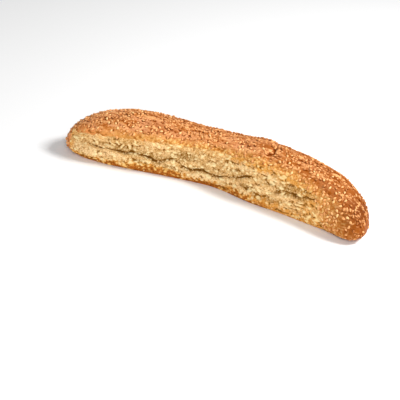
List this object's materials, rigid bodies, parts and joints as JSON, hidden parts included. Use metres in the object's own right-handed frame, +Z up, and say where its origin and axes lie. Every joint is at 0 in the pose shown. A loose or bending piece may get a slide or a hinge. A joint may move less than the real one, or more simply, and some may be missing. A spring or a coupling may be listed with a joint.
{
  "type": "sesame bread stick",
  "caption": "Soft baked bread stick, slightly bowed, with a browned crust covered in sesame seeds and a pale torn side, lying on its flat base.",
  "frame": {"origin": "centre of the bounding box's footprint, at the level of the flat base", "axes": "+X along the stick, +Y away from the torn side, +Z up"},
  "size_m": [0.2666, 0.074, 0.0444],
  "materials": {
    "crust": "thin baked bread crust, orange-brown, finely wrinkled, with a soft sheen on its high places",
    "crumb": "torn bread crumb, beige, dry and matt, pulled into fibres and flakes, with specks of bran",
    "sesame": "toasted hulled sesame seeds, light beige to golden, smooth with a faint sheen"
  },
  "bodies": {
    "root": {"sesame_stick": "crust"}
  },
  "joints": []
}
